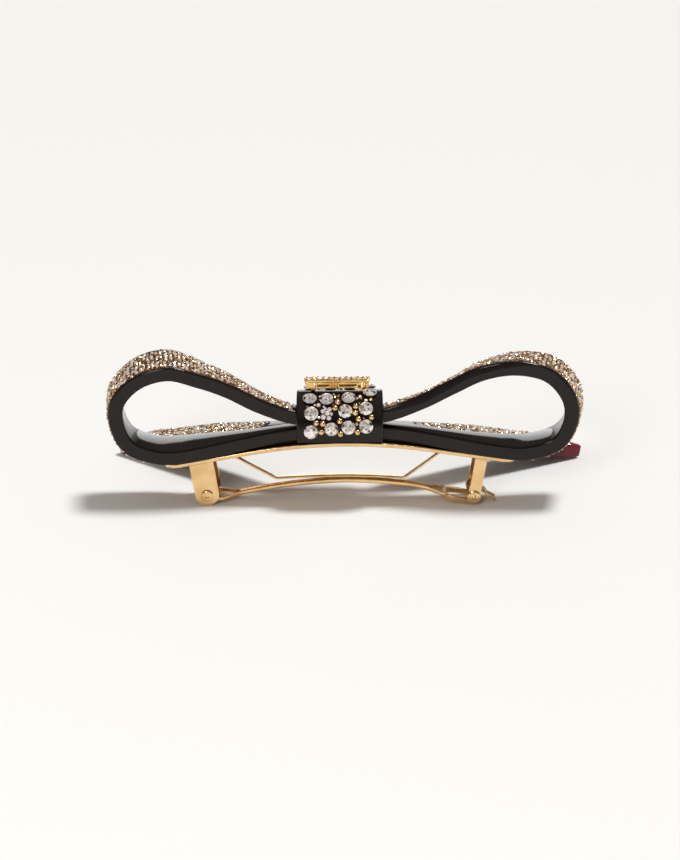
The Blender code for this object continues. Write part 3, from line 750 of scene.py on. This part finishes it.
def brilliant_shell():
    """Unit round brilliant and its facet tones, with a star of flashes across the table."""
    verts = []
    for radius, height, turn, count in ((0.26, 0.40, 22.5, 8), (0.56, 0.40, 0.0, 8),
                                        (0.80, 0.24, 22.5, 8), (1.0, 0.04, 0.0, 16),
                                        (1.0, -0.05, 0.0, 16), (0.50, -0.36, 22.5, 8)):
        verts += [(u, v, height) for u, v in arc(0, 0, radius, turn, 360 + turn, count)[:-1]]
    verts += [(0, 0, 0.40), (0, 0, -0.70)]
    star, table, mid, top, low, deep, eye, tip = 0, 8, 16, 24, 40, 56, 64, 65
    faces, tones = [], []
    for k in range(8):
        n, b = (k + 1) % 8, (k - 1) % 8
        g0, g1, g2 = 2 * k, 2 * k + 1, (2 * k + 2) % 16
        odd = k % 2
        crown = [((eye, star + k, star + n), 0.95 if odd else 0.55),
                 ((star + k, table + k, table + n), 0.30 if odd else 0.80),
                 ((star + b, table + k, star + k), 0.88 if odd else 0.45),
                 ((table + k, mid + k, table + n), 0.62),
                 ((table + k, mid + b, top + g0, mid + k), 0.86 if odd else 0.50),
                 ((mid + k, top + g0, top + g1), 0.95),
                 ((mid + k, top + g1, top + g2), 0.28 if odd else 0.72),
                 ((top + g0, low + g0, low + g1, top + g1), 0.75),
                 ((top + g1, low + g1, low + g2, top + g2), 0.55)]
        under = [(deep + k, low + g1, low + g0), (deep + k, low + g2, low + g1),
                 (deep + b, deep + k, low + g0), (deep + b, tip, deep + k)]
        for face, tone in crown + [(face, 0.4) for face in under]:
            faces.append(face)
            tones.append(clamp(tone + rng.gauss(-0.10, 0.28)))
    return np.array(verts), faces, tones


CRYSTAL_ROWS = (
    ("front_low", ((-5.75, 2.5), (-1.7, 3.0), (1.7, 3.3), (5.2, 3.5))),
    ("front_mid", ((-5.65, 6.0), (-2.6, 5.9), (1.1, 6.4), (5.2, 6.9))),
    ("front_top", ((-5.95, 9.3), (-2.6, 9.1), (1.8, 9.4), (6.0, 10.9))),
    ("back_top", ((-5.9, -9.3), (-1.9, -9.2), (2.1, -9.4), (5.9, -9.3))),
    ("back_mid", ((-5.5, -6.0), (-1.4, -6.2), (2.4, -6.1), (5.6, -6.3))),
    ("back_low", ((-5.8, -2.7), (-2.0, -3.0), (1.8, -2.8), (5.5, -3.0))),
)
CLUSTER = "knot_crystal_front_mid_2"  # small stones set together in place of a large one
CLUSTER_SPOTS = ((-0.75, -0.55, 0.56), (0.45, -0.75, 0.50), (-0.80, 0.62, 0.46),
                 (0.10, 0.25, 0.52), (0.55, 0.95, 0.48), (-0.25, 1.10, 0.34), (1.00, 0.10, 0.36))
BEAD_SPOTS = ((-4.7, 4.2), (-3.4, 4.05), (-3.7, 2.5), (0.0, 4.5), (0.1, 2.05), (3.1, 6.0),
              (3.15, 7.3), (3.7, 4.9), (6.3, 5.2), (3.5, 2.4), (-0.9, 7.0), (-0.4, 8.2))
ROSE_BEADS = (2, 12)


def make_cluster(x, s):
    build = Builder()
    seat, normal = on_knot(x, s, 0.03)
    axes = tilt_frame(normal, (1, 0, 0), 0.0)
    sides = 24
    disc = [(0.95 * u, 0.95 * v, w)
            for w in (-0.1, 0.1) for u, v in arc(0, 0, 1, 0, 360, sides)[:-1]]
    build.add(np.array(disc) @ axes + np.array(seat), tube_faces(2, sides))
    for dx, ds, radius in CLUSTER_SPOTS:
        centre, normal = on_knot(x + dx, s + ds, 0.18)
        axes = tilt_frame(normal, (1, 0, 0), 0.2)
        add_stone(build, centre, axes, radius, rng.uniform(0.55, 0.85))
    build.piece(CLUSTER, [BED, CRYSTAL], "bow", slot="crystal", sharp=2, leaning=True)


def make_crystals():
    """Large crystals; returns the places they take as (x, s, radius)."""
    taken = []
    for word, places in CRYSTAL_ROWS:
        for number, (x, s) in enumerate(places, 1):
            name = "knot_crystal_" + word + "_" + str(number)
            s = s % knot_length()
            taken.append((x, s, KNOT_STONE_R))
            if name == CLUSTER:
                make_cluster(x, s)
                continue
            centre, normal = on_knot(x, s, 0.42)
            verts, faces, tones = brilliant_shell()
            axes = tilt_frame(normal, (1, 0, 0), 0.07)
            build = Builder()
            build.add(verts * KNOT_STONE_R @ axes + np.array(centre), faces, 0, tones)
            build.piece(name, [CRYSTAL], "bow", slot="crystal", sharp=2, leaning=True)
    return taken


def make_beads():
    for number, (x, s) in enumerate(BEAD_SPOTS, 1):
        name = "knot_bead_" + str(number)
        centre, _ = on_knot(x, s, 0.46)
        ball, ball_faces = ball_shell(centre, KNOT_BEAD_R, 12, 20)
        metal = ROSE_BEAD if number in ROSE_BEADS else GOLD_BEAD
        piece(name, ball, ball_faces, [metal], "bow", slot="gold_metal", sharp=60, leaning=True)


def make_knot_stones():
    """Crystals and beads, then small stones wherever there is still room between them."""
    taken = make_crystals()
    make_beads()
    taken += [(x, s, KNOT_BEAD_R) for x, s in BEAD_SPOTS]
    fill = Builder()
    tries, side_edge, front_edge, back_edge = 1800, 6.7, 3.2, knot_length() - 1.2
    ornament_half = 1.6
    for _ in range(tries):
        x = rng.uniform(-side_edge, side_edge)
        s = rng.uniform(front_edge, back_edge)
        radius = rng.choice((0.46, 0.36, 0.26))
        under_ornament = abs(s - knot_length() / 2) < ornament_half
        if under_ornament or any(math.hypot(x - u, s - v) < radius + r for u, v, r in taken):
            continue
        taken.append((x, s, radius))
        centre, normal = on_knot(x, s, radius * 0.35)
        axes = tilt_frame(normal, (1, 0, 0), 0.12)
        if rng.random() < 0.55:
            add_ball(fill, centre, axes, radius)
        else:
            add_stone(fill, centre, axes, radius, clamp(rng.gauss(0.6, 0.2)))
    fill.piece("knot_fill_stones", [BED, SMALL_STONE, GOLD_BEAD], "bow", replaces=(),
               slot="pave_stones", sharp=20, leaning=True)


# ------------ ornament
ORNAMENT_X = (-7.0, 6.0)
ORNAMENT_Y = (0.5, 2.7)
ORNAMENT_CORNER = 0.5
GALLERY_Z = (23.4, 24.75)
GALLERY_INSET = 0.1
GALLERY_LIP = 0.12  # thin plates below and above
WINDOWS = ((-4.4, -2.0), (0.0, 3.4))
POST = (-1.6, -0.4)
FEET = ((-5.7, -4.9), (3.7, 4.4))
FOOT_Z = 22.56
TRAY_Z = (24.81, 25.2)
TRAY_RIM = 0.4
RIM_BALLS = 50  # grains along the tray's rim, large and small by turns
TRAY_STONES, TRAY_PITCH = 11, 1.13


def ornament_box(inset):
    return (ORNAMENT_X[0] + inset, ORNAMENT_X[1] - inset,
            ORNAMENT_Y[0] + inset, ORNAMENT_Y[1] - inset)


def rounded_rectangle(inset, corner, steps=6):
    left, right, low, high = ornament_box(inset + corner)
    outline = []
    for x, y, start in ((right, low, -90), (right, high, 0), (left, high, 90), (left, low, 180)):
        outline += arc(x, y, corner, start, start + 90, steps)
    return outline


def box_shell(x0, x1, y0, y1, z0, z1):
    return prism_shell([(x0, y0), (x1, y0), (x1, y1), (x0, y1)], "Z", z0, z1)


def disc_shell(x, y, radius, z0, z1, sides):
    return prism_shell(arc(x, y, radius, 0, 360, sides)[:-1], "Z", z0, z1)


def frame_shell(x0, x1, z0, z1, y0, y1, wall):
    """Upright rectangular frame, open along Y."""
    verts = []
    for x, z, sx, sz in ((x0, z0, 1, 1), (x1, z0, -1, 1), (x1, z1, -1, -1), (x0, z1, 1, -1)):
        inner_x, inner_z = x + wall * sx, z + wall * sz
        verts += [(x, y0, z), (inner_x, y0, inner_z), (inner_x, y1, inner_z), (x, y1, z)]
    return verts, tube_faces(4, 4, True)


def make_gallery():
    """Bar with a solid left block, two framed windows, a ribbed post and a stepped right end."""
    low, high = GALLERY_Z
    x0, x1, y0, y1 = ornament_box(GALLERY_INSET)
    build = Builder()
    for start, end in ((low, low + GALLERY_LIP), (high - GALLERY_LIP, high)):
        build.add(*prism_shell(rounded_rectangle(GALLERY_INSET, 0.4), "Z", start, end))
    first, last = WINDOWS[0][0], WINDOWS[1][1]
    for left, right, front, back in ((x0 + 0.12, first - 0.75, y0 + 0.04, y1 - 0.04),
                                     (first - 0.5, last + 0.9, 1.35, 1.85),
                                     (last + 1.2, x1 - 0.7, y0 + 0.3, y1 - 0.3)):
        build.add(*box_shell(left, right, front, back, low + 0.1, high - 0.1))
    for left, right in WINDOWS:
        build.add(*frame_shell(left - 0.32, right + 0.32, low + 0.1, high - 0.16,
                               y0 + 0.05, y1 - 0.05, 0.26))
        build.add(*box_shell(left + 0.4, right - 0.4, y0 + 0.5, y1 - 0.5, low + 0.1, low + 0.34))
    ribs, rib_edge = 4, 0.15
    for rib in range(ribs):
        x = POST[0] + rib_edge + rib * (POST[1] - POST[0] - 2 * rib_edge) / (ribs - 1)
        for y in (y0 + 0.22, y1 - 0.22):
            build.add(*disc_shell(x, y, 0.17, low + 0.05, high, 14))
    for y in (y0 + 0.35, y1 - 0.35):
        build.add(*disc_shell(x1 - 0.42, y, 0.34, low, high, 18))
    for left, right in FEET:
        build.add(*box_shell(left, right, 0.9, 2.3, FOOT_Z, low + 0.05))
    build.piece("ornament_gallery", [GOLD_YELLOW], "bow", slot="gold_metal", bevel=0.04,
                leaning=True)


def make_ornament():
    make_gallery()
    low, high = TRAY_Z
    shoulder = high - 0.12
    profile = ((0.0, ORNAMENT_CORNER, low), (0.0, ORNAMENT_CORNER, shoulder),
               (0.1, 0.4, high - 0.04), (TRAY_RIM - 0.1, 0.22, high - 0.04),
               (TRAY_RIM, 0.14, shoulder), (TRAY_RIM, 0.14, low + 0.14))
    verts = []
    for inset, corner, z in profile:
        verts += [(x, y, z) for x, y in rounded_rectangle(inset, corner)]
    tray = Builder()
    tray.add(verts, tube_faces(len(profile), len(verts) // len(profile)))
    rim = rounded_rectangle(TRAY_RIM / 2, 0.3)
    path = even_points([Vector((*p, 0)) for p in rim + rim[:1]], RIM_BALLS + 1)[:-1]
    for number, p in enumerate(path):
        radius = 0.25 if number % 2 else 0.16
        tray.add(*ball_shell((p.x, p.y, shoulder), radius, 7, 10))
    tray.piece("ornament_tray", [GOLD_YELLOW], "bow", slot="gold_metal", sharp=40, leaning=True)

    bed = Builder()
    bed.add(*prism_shell(rounded_rectangle(0.46, 0.1), "Z", low + 0.18, high - 0.1))
    middle = sum(ORNAMENT_Y) / 2
    for column in range(TRAY_STONES):
        x = ORNAMENT_X[0] + 0.85 + column * TRAY_PITCH
        axes = tilt_frame((0, 0, 1), (1, 0, 0), 0.1)
        add_stone(bed, (x, middle, high - 0.05), axes, 0.5, clamp(rng.gauss(0.75, 0.15)))
        for y in (middle - 0.42, middle + 0.42):
            add_ball(bed, (x + 0.56, y, high - 0.08), axes, 0.2)
    bed.piece("ornament_pave", [BED, SMALL_STONE, GOLD_BEAD], "bow", slot="pave_stones",
              sharp=12, leaning=True)


# ------------ French clip
def bent_tab(build, top_x, pin, half_width, end_round, y_sign):
    """Ear or leg: leaves the plate's edge in a tight bend and runs down to its pivot."""
    bend, overlap, steps, columns = SHEET_BEND, 1.2, 8, 13
    top_z = plate_top(top_x)
    down = Vector((pin[0] - top_x, 0, pin[1] - top_z))
    to_pin = down.length
    down.normalize()
    slope = (plate_top(top_x + 0.5) - plate_top(top_x - 0.5))
    along = Vector((1, 0, slope)).normalized()
    path = [(PLATE_HALF - bend - overlap, 0.0, math.pi / 2)]
    for i in range(steps + 1):
        a = math.pi / 2 * (1 - i / steps)
        path.append((PLATE_HALF - bend + bend * math.cos(a), bend - bend * math.sin(a), a))
    for i in range(1, steps + 1):
        path.append((PLATE_HALF, bend + (to_pin - bend) * i / steps, 0.0))
    almost_whole = 0.995             # stops just before the rounded end closes to a point
    for i in range(1, steps + 1):
        rounding = end_round * math.sin(math.pi / 2 * i / steps) * almost_whole
        path.append((PLATE_HALF, to_pin + rounding, 0.0))
    verts = []
    for y, depth, angle in path:
        half = half_width(depth, to_pin)
        out = Vector((0, math.cos(angle), 0)) - down * math.sin(angle)
        outer = []
        for j in range(columns):
            u = half * (2 * j / (columns - 1) - 1)
            base = Vector((top_x, 0, top_z)) + along * u + down * depth
            outer.append(Vector((base.x, y, base.z)))
        inner = [point - out * SHEET_T for point in outer]
        verts += [(p.x, y_sign * p.y, p.z) for p in outer + inner[::-1]]
    build.add(verts, tube_faces(len(path), 2 * columns))


def ear_half(depth, to_pin):
    """Half width of an ear at a depth below the plate; it ends in a half round."""
    over = max(depth - to_pin, 0.0) / (EAR_END + 0.02)
    return EAR_HALF * math.sqrt(max(1 - over * over, 0.004))


def leg_half(depth, to_pin):
    """Half width of a catch leg; it ends in a round pad."""
    past_pin = depth - to_pin
    if abs(past_pin) < LEG_PAD_R:
        least = LEG_HALF if past_pin < 0 else 0.1
        return max(math.sqrt(LEG_PAD_R ** 2 - past_pin ** 2), least)
    return LEG_HALF


def level_edges(stations):
    """Edges and normals of a strip that is level across, from (x, half width, z)."""
    near = [Vector((x, -half, z)) for x, half, z in stations]
    far = [Vector((x, half, z)) for x, half, z in stations]
    return near, far, [Vector((0, 0, 1))] * len(stations)


def make_base_plate():
    count, corner = 121, PLATE_CORNER
    stations = []
    for i in range(count):
        x = PLATE_LENGTH_HALF * math.sin(math.pi * (i / (count - 1) - 0.5))
        over = max(abs(x) - (PLATE_LENGTH_HALF - corner), 0.0)
        half = PLATE_HALF - corner + math.sqrt(max(corner ** 2 - over ** 2, 0.0))
        stations.append((x, half, plate_top(x)))
    verts, faces = strip_shell(*level_edges(stations), -PLATE_T, 0.0, 0.16)
    build = Builder()
    for sign in (-1, 1):
        bent_tab(build, EAR_X, HINGE, ear_half, EAR_END, sign)
        bent_tab(build, LEG_X, CATCH, leg_half, LEG_PAD_R, sign)
    plate = piece("base_plate_sheet", verts, faces, [GOLD], "bow", replaces=["base_plate"],
                  slot="gold_metal")
    for x in (-HOLE_X, HOLE_X):
        z = plate_top(x)
        hole, hole_faces = disc_shell(x, 0, HOLE_R, z - 3, z + 3, 32)
        cutter = piece("hole_tool", hole, hole_faces, [GOLD], "bow", replaces=())
        mod = plate.modifiers.new("hole", "BOOLEAN")
        mod.operation = "DIFFERENCE"
        mod.object = cutter
        bake(plate)
        bpy.data.objects.remove(cutter)
    build.piece("base_plate_ears", [GOLD], "bow", replaces=["base_plate"], slot="gold_metal",
                bevel=0.07)


def bake(obj):
    """Apply an object's modifiers to its own mesh."""
    done = obj.evaluated_get(bpy.context.evaluated_depsgraph_get())
    mesh = bpy.data.meshes.new_from_object(done)
    obj.modifiers.clear()
    obj.data = mesh


def make_rivet(name, x, z, shank, head, domed):
    """Pin with a rolled open head, or with a dome and a small ball on it."""
    face = PLATE_HALF + 0.1
    if domed:
        rim, rise = face + 0.08, 0.2
        half = [(face, shank), (face, head * 0.96), (rim, head)]
        half += [(rim + rise * math.sin(a), head * math.cos(a)) for a in (0.35, 0.75, 1.1)]
        half += [(face + 0.3, 0.42), (face + 0.36, 0.36), (face + 0.42, 0.2), (face + 0.43, 0.04)]
    else:
        half = [(face, shank), (face, head * 0.94), (face + 0.1, head), (face + 0.22, head * 0.93),
                (face + 0.3, head * 0.74), (face + 0.24, shank * 0.95), (face + 0.1, shank * 0.86),
                (face - 1.6, shank * 0.8)]
    sections = [(-y, r) for y, r in reversed(half)] + half
    verts, faces = rod_shell(x, z, sections)
    piece(name, verts, faces, [GOLD], "bow", slot="gold_metal", sharp=50)


def ring_shell(count):
    """Rounded-off frame at the lever's end; it thins and comes down towards its tip."""
    verts = []
    for i in range(count):
        a = 2 * math.pi * i / count
        round_x, round_y = (math.copysign(abs(part) ** RING_SQUARE, part)
                            for part in (math.cos(a), math.sin(a)))
        for wall in (0.0, RING_WALL):
            x = RING_X + (RING_HALF_X - wall) * round_x
            y = (RING_HALF_Y - wall) * round_y
            bottom = max(0.0, (27.0 - x) * 0.13)
            top = bottom + 0.8 + 0.4 * (RING_X + RING_HALF_X - x) / (2 * RING_HALF_X)
            verts += [(x, y, z) for z in ((top, bottom) if wall else (bottom, top))]
    return verts, tube_faces(count, 4, True)


def make_lever():
    build = Builder()
    line = spline([(-26.6, 0.75), (-24.2, 0.62), (-22.0, 0.75), (-20.0, 1.14), (-16.0, 1.98),
                   (-12.0, 2.65), (-8.0, 3.2), (-3.0, 3.65), (2.0, 3.85), (7.0, 3.65),
                   (12.0, 3.2), (15.0, 2.8), (19.0, 1.88), (21.2, 1.3)], 100)
    stations = []
    for x, z in line:
        hinge_end = clamp((-20.5 - x) / 3.0)
        ring_end = clamp((x - 17.5) / 3.0)
        half = LEVER_HALF + (KNUCKLE_HALF - LEVER_HALF) * hinge_end + RING_FLARE * ring_end
        stations.append((x, half, z))
    build.add(*strip_shell(*level_edges(stations), 0.0, LEVER_T + FLANGE, 0.1, 2,
                           groove=(0.2, FLANGE)))
    build.add(*sleeve_shell(*HINGE, KNUCKLE_BORE, KNUCKLE_R, KNUCKLE_HALF, 48))
    build.add(*ring_shell(72))
    build.piece("lever_arm", [GOLD], "lever", slot="gold_metal", bevel=0.1)


def fillet(points, radius, steps=6):
    """Polyline with rounded corners."""
    out = [Vector(points[0])]
    for a, b, c in zip(points, points[1:], points[2:]):
        a, b, c = Vector(a), Vector(b), Vector(c)
        start = b + (a - b).normalized() * radius
        end = b + (c - b).normalized() * radius
        for k in range(steps + 1):
            t = k / steps
            out.append(start.lerp(b, t).lerp(b.lerp(end, t), t))
    out.append(Vector(points[-1]))
    return out


def make_tension_bar():
    points = [(-23.4, 9.38), (-21.9, 9.66), (-12.9, 4.6), (-8.0, 4.88), (-3.0, 5.08), (2.0, 5.15),
              (7.0, 5.02), (12.9, 4.68), (20.65, 10.6), (22.1, 10.4)]
    line = fillet([(x, 0, z) for x, z in points], BAR_BEND)
    half = Vector((0, BAR_HALF, 0))
    verts, faces = strip_shell([p - half for p in line], [p + half for p in line],
                               line_normals(line), -BAR_T / 2, BAR_T / 2, 0.1)
    bar = piece("tension_bar", verts, faces, [GOLD], "bow", slot="gold_metal", sharp=50)
    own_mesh(bar)


def make_latch():
    """Eye around the rivet, and a tongue that splits into two prongs."""
    build = Builder()
    build.add(*sleeve_shell(*CATCH, *LATCH_EYE, 36))
    whole, root = 30, 14
    line = spline([(27.0, 0, 2.5), (28.3, 0, 2.35), (29.2, 0, 1.9), (29.8, 0, 1.1),
                   (31.2, 0, 0.35)], whole)
    normals = line_normals(line)
    for y0, y1, last in ((-1.7, -0.6, whole), (0.6, 1.7, whole), (-0.7, 0.7, root)):
        near = [Vector((p.x, y0, p.z)) for p in line[:last]]
        far = [Vector((p.x, y1, p.z)) for p in line[:last]]
        build.add(*strip_shell(near, far, normals[:last], -LATCH_T / 2, LATCH_T / 2, 0.08, 2))
    build.piece("catch_latch", [GOLD], "latch", slot="gold_metal", sharp=50)


# ------------ studio
KEY_POWER, KEY_FROM = 2.53, (0.30, 0.105, 1.0)  # metres from the middle of the bow
BACK_POWER, BACK_FROM = 3.4, (0.0, 2.3, 0.405)  # low behind: shines along the lower strands
FILL_POWER, FILL_FROM = 1.6, (-0.25, -0.75, 0.42)
VIEW_ELEVATION, VIEW_DISTANCE, LENS = math.radians(20.0), 0.55, 115.0
BACKDROP = (0.925, 0.915, 0.875, 1)
WORLD_HEIGHTS = ((0.0, (0.50, 0.48, 0.47)), (0.22, (0.28, 0.265, 0.26)),
                 (0.32, (0.10, 0.09, 0.085)), (0.90, (0.40, 0.36, 0.33)))


def make_floor():
    """Paper that is seen from above and clear from below."""
    n = Nodes(bpy.data.materials.new("floor_paper"))
    n.set(Base_Color=(0.845, 0.835, 0.81, 1.0), Roughness=0.9, Specular_IOR_Level=0.1)
    mix = n.node("ShaderNodeMixShader")
    n.link(n.node("ShaderNodeNewGeometry").outputs["Backfacing"], mix.inputs["Fac"])
    n.link(n.shader.outputs["BSDF"], mix.inputs[1])
    n.link(n.node("ShaderNodeBsdfTransparent").outputs["BSDF"], mix.inputs[2])
    n.link(mix.outputs["Shader"], n.tree.nodes["Material Output"].inputs["Surface"])
    mesh = bpy.data.meshes.new("floor")
    size = 4.0
    mesh.from_pydata([(-size, -size, 0), (size, -size, 0), (size, size, 0), (-size, size, 0)], [],
                     [(0, 1, 2, 3)])
    mesh.materials.append(n.owner)
    floor = new_object("floor", mesh)
    floor.location.z = ORIGIN.z - 0.00002


def aim(obj, target):
    direction = Vector(target) - obj.location
    obj.rotation_euler = direction.to_track_quat("-Z", "Y").to_euler()


def add_light(name, kind, target, offset, energy, **settings):
    data = bpy.data.lights.new(name, kind)
    data.energy = energy
    for key, value in settings.items():
        setattr(data, key, value)
    lamp = new_object(name, data)
    lamp.location = target + Vector(offset)
    aim(lamp, target)


def make_studio():
    make_floor()
    centre = ORIGIN + MM * Vector((0, 0, 14.8))
    add_light("key_sun", "SUN", centre, KEY_FROM, KEY_POWER, angle=math.radians(13),
              color=(0.965, 0.993, 1.0))
    add_light("back_disk", "AREA", centre, BACK_FROM, BACK_POWER, shape="DISK", size=0.91)
    add_light("front_fill", "AREA", centre, FILL_FROM, FILL_POWER, shape="DISK", size=0.22)
    make_world()

    camera = new_object("camera", bpy.data.cameras.new("camera"))
    camera.data.lens = LENS
    camera.data.clip_start = 0.01
    back = Vector((0, -math.cos(VIEW_ELEVATION), math.sin(VIEW_ELEVATION)))
    camera.location = centre + VIEW_DISTANCE * back
    aim(camera, centre)
    bpy.context.scene.camera = camera
    bpy.context.scene.view_settings.view_transform = "Standard"


def make_world():
    """Surroundings that light by height, and a plain backdrop where the camera sees them."""
    world = bpy.data.worlds.new("studio")
    bpy.context.scene.world = world
    n = Nodes(world, "Background")
    split = n.node("ShaderNodeSeparateXYZ")
    n.link(n.coords.outputs["Generated"], split.inputs["Vector"])
    by_height = n.ramp(split.outputs["Z"], WORLD_HEIGHTS)
    seen = n.node("ShaderNodeLightPath").outputs["Is Camera Ray"]
    n.set(Color=n.mix(seen, by_height, BACKDROP))


make_bow()
make_knot_band()
make_knot_stones()
make_ornament()
make_base_plate()
make_rivet("hinge_pin", *HINGE, *HINGE_RIVET, domed=False)
make_rivet("catch_rivet", *CATCH, *CATCH_RIVET, domed=True)
make_lever()
make_tension_bar()
make_latch()
make_studio()
